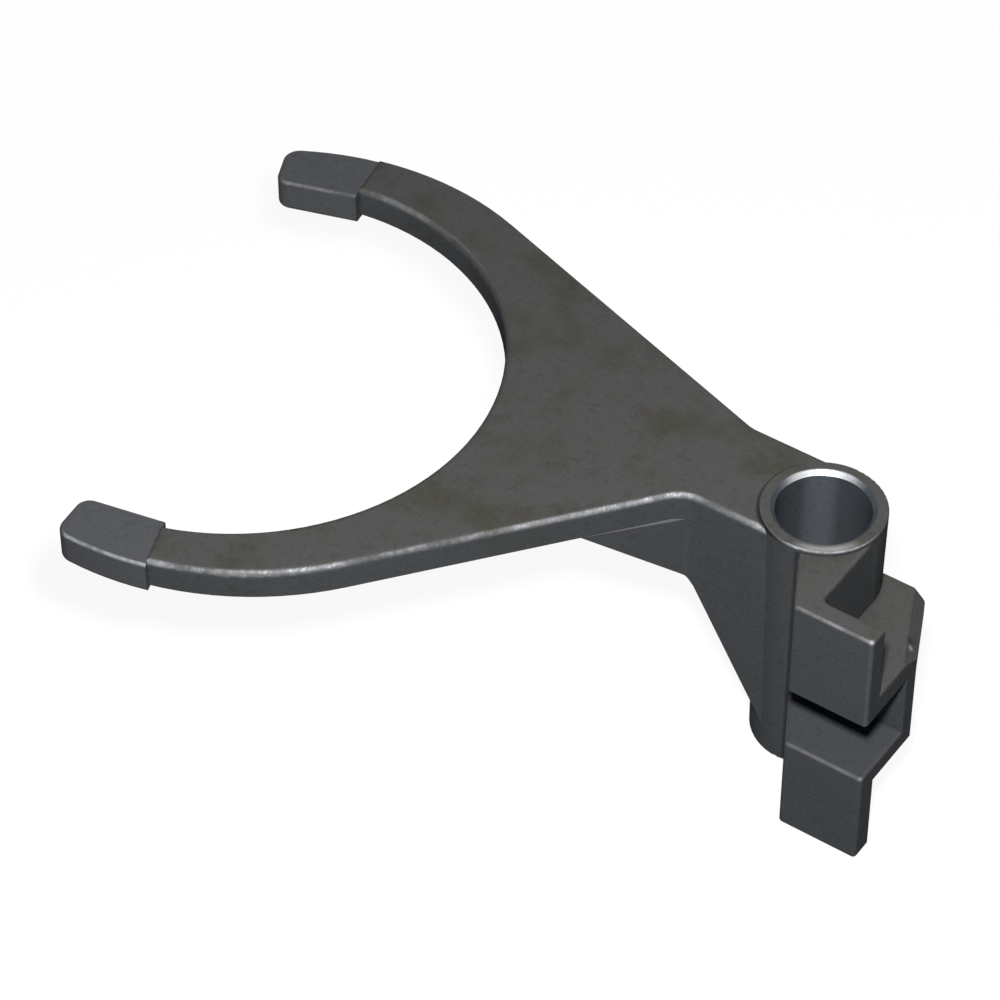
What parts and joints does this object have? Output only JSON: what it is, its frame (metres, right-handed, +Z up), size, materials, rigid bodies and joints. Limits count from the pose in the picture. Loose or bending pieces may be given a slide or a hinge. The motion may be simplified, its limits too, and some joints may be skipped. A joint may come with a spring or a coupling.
{
  "type": "transmission shift fork",
  "caption": "Cast C-shaped shift fork on a long bored hub with a gusseted neck and a slotted gate block for the shift finger.",
  "frame": {"origin": "on the axis of the rail bore, in the plane of the machined ring face at its top; the straight wall of the bore starts 0.85 mm below, under the chamfer", "axes": "+Z up along the rail bore, out of the ring face; +X along the neck, away from the fork; +Y to the side of the neck that the gate block is not on"},
  "size_m": [0.1759, 0.1271, 0.0628],
  "materials": {
    "cast_iron": "satin as cast, machined at the ring face, bore and pads"
  },
  "bodies": {
    "root": {"shift_fork": "cast_iron"}
  },
  "joints": []
}
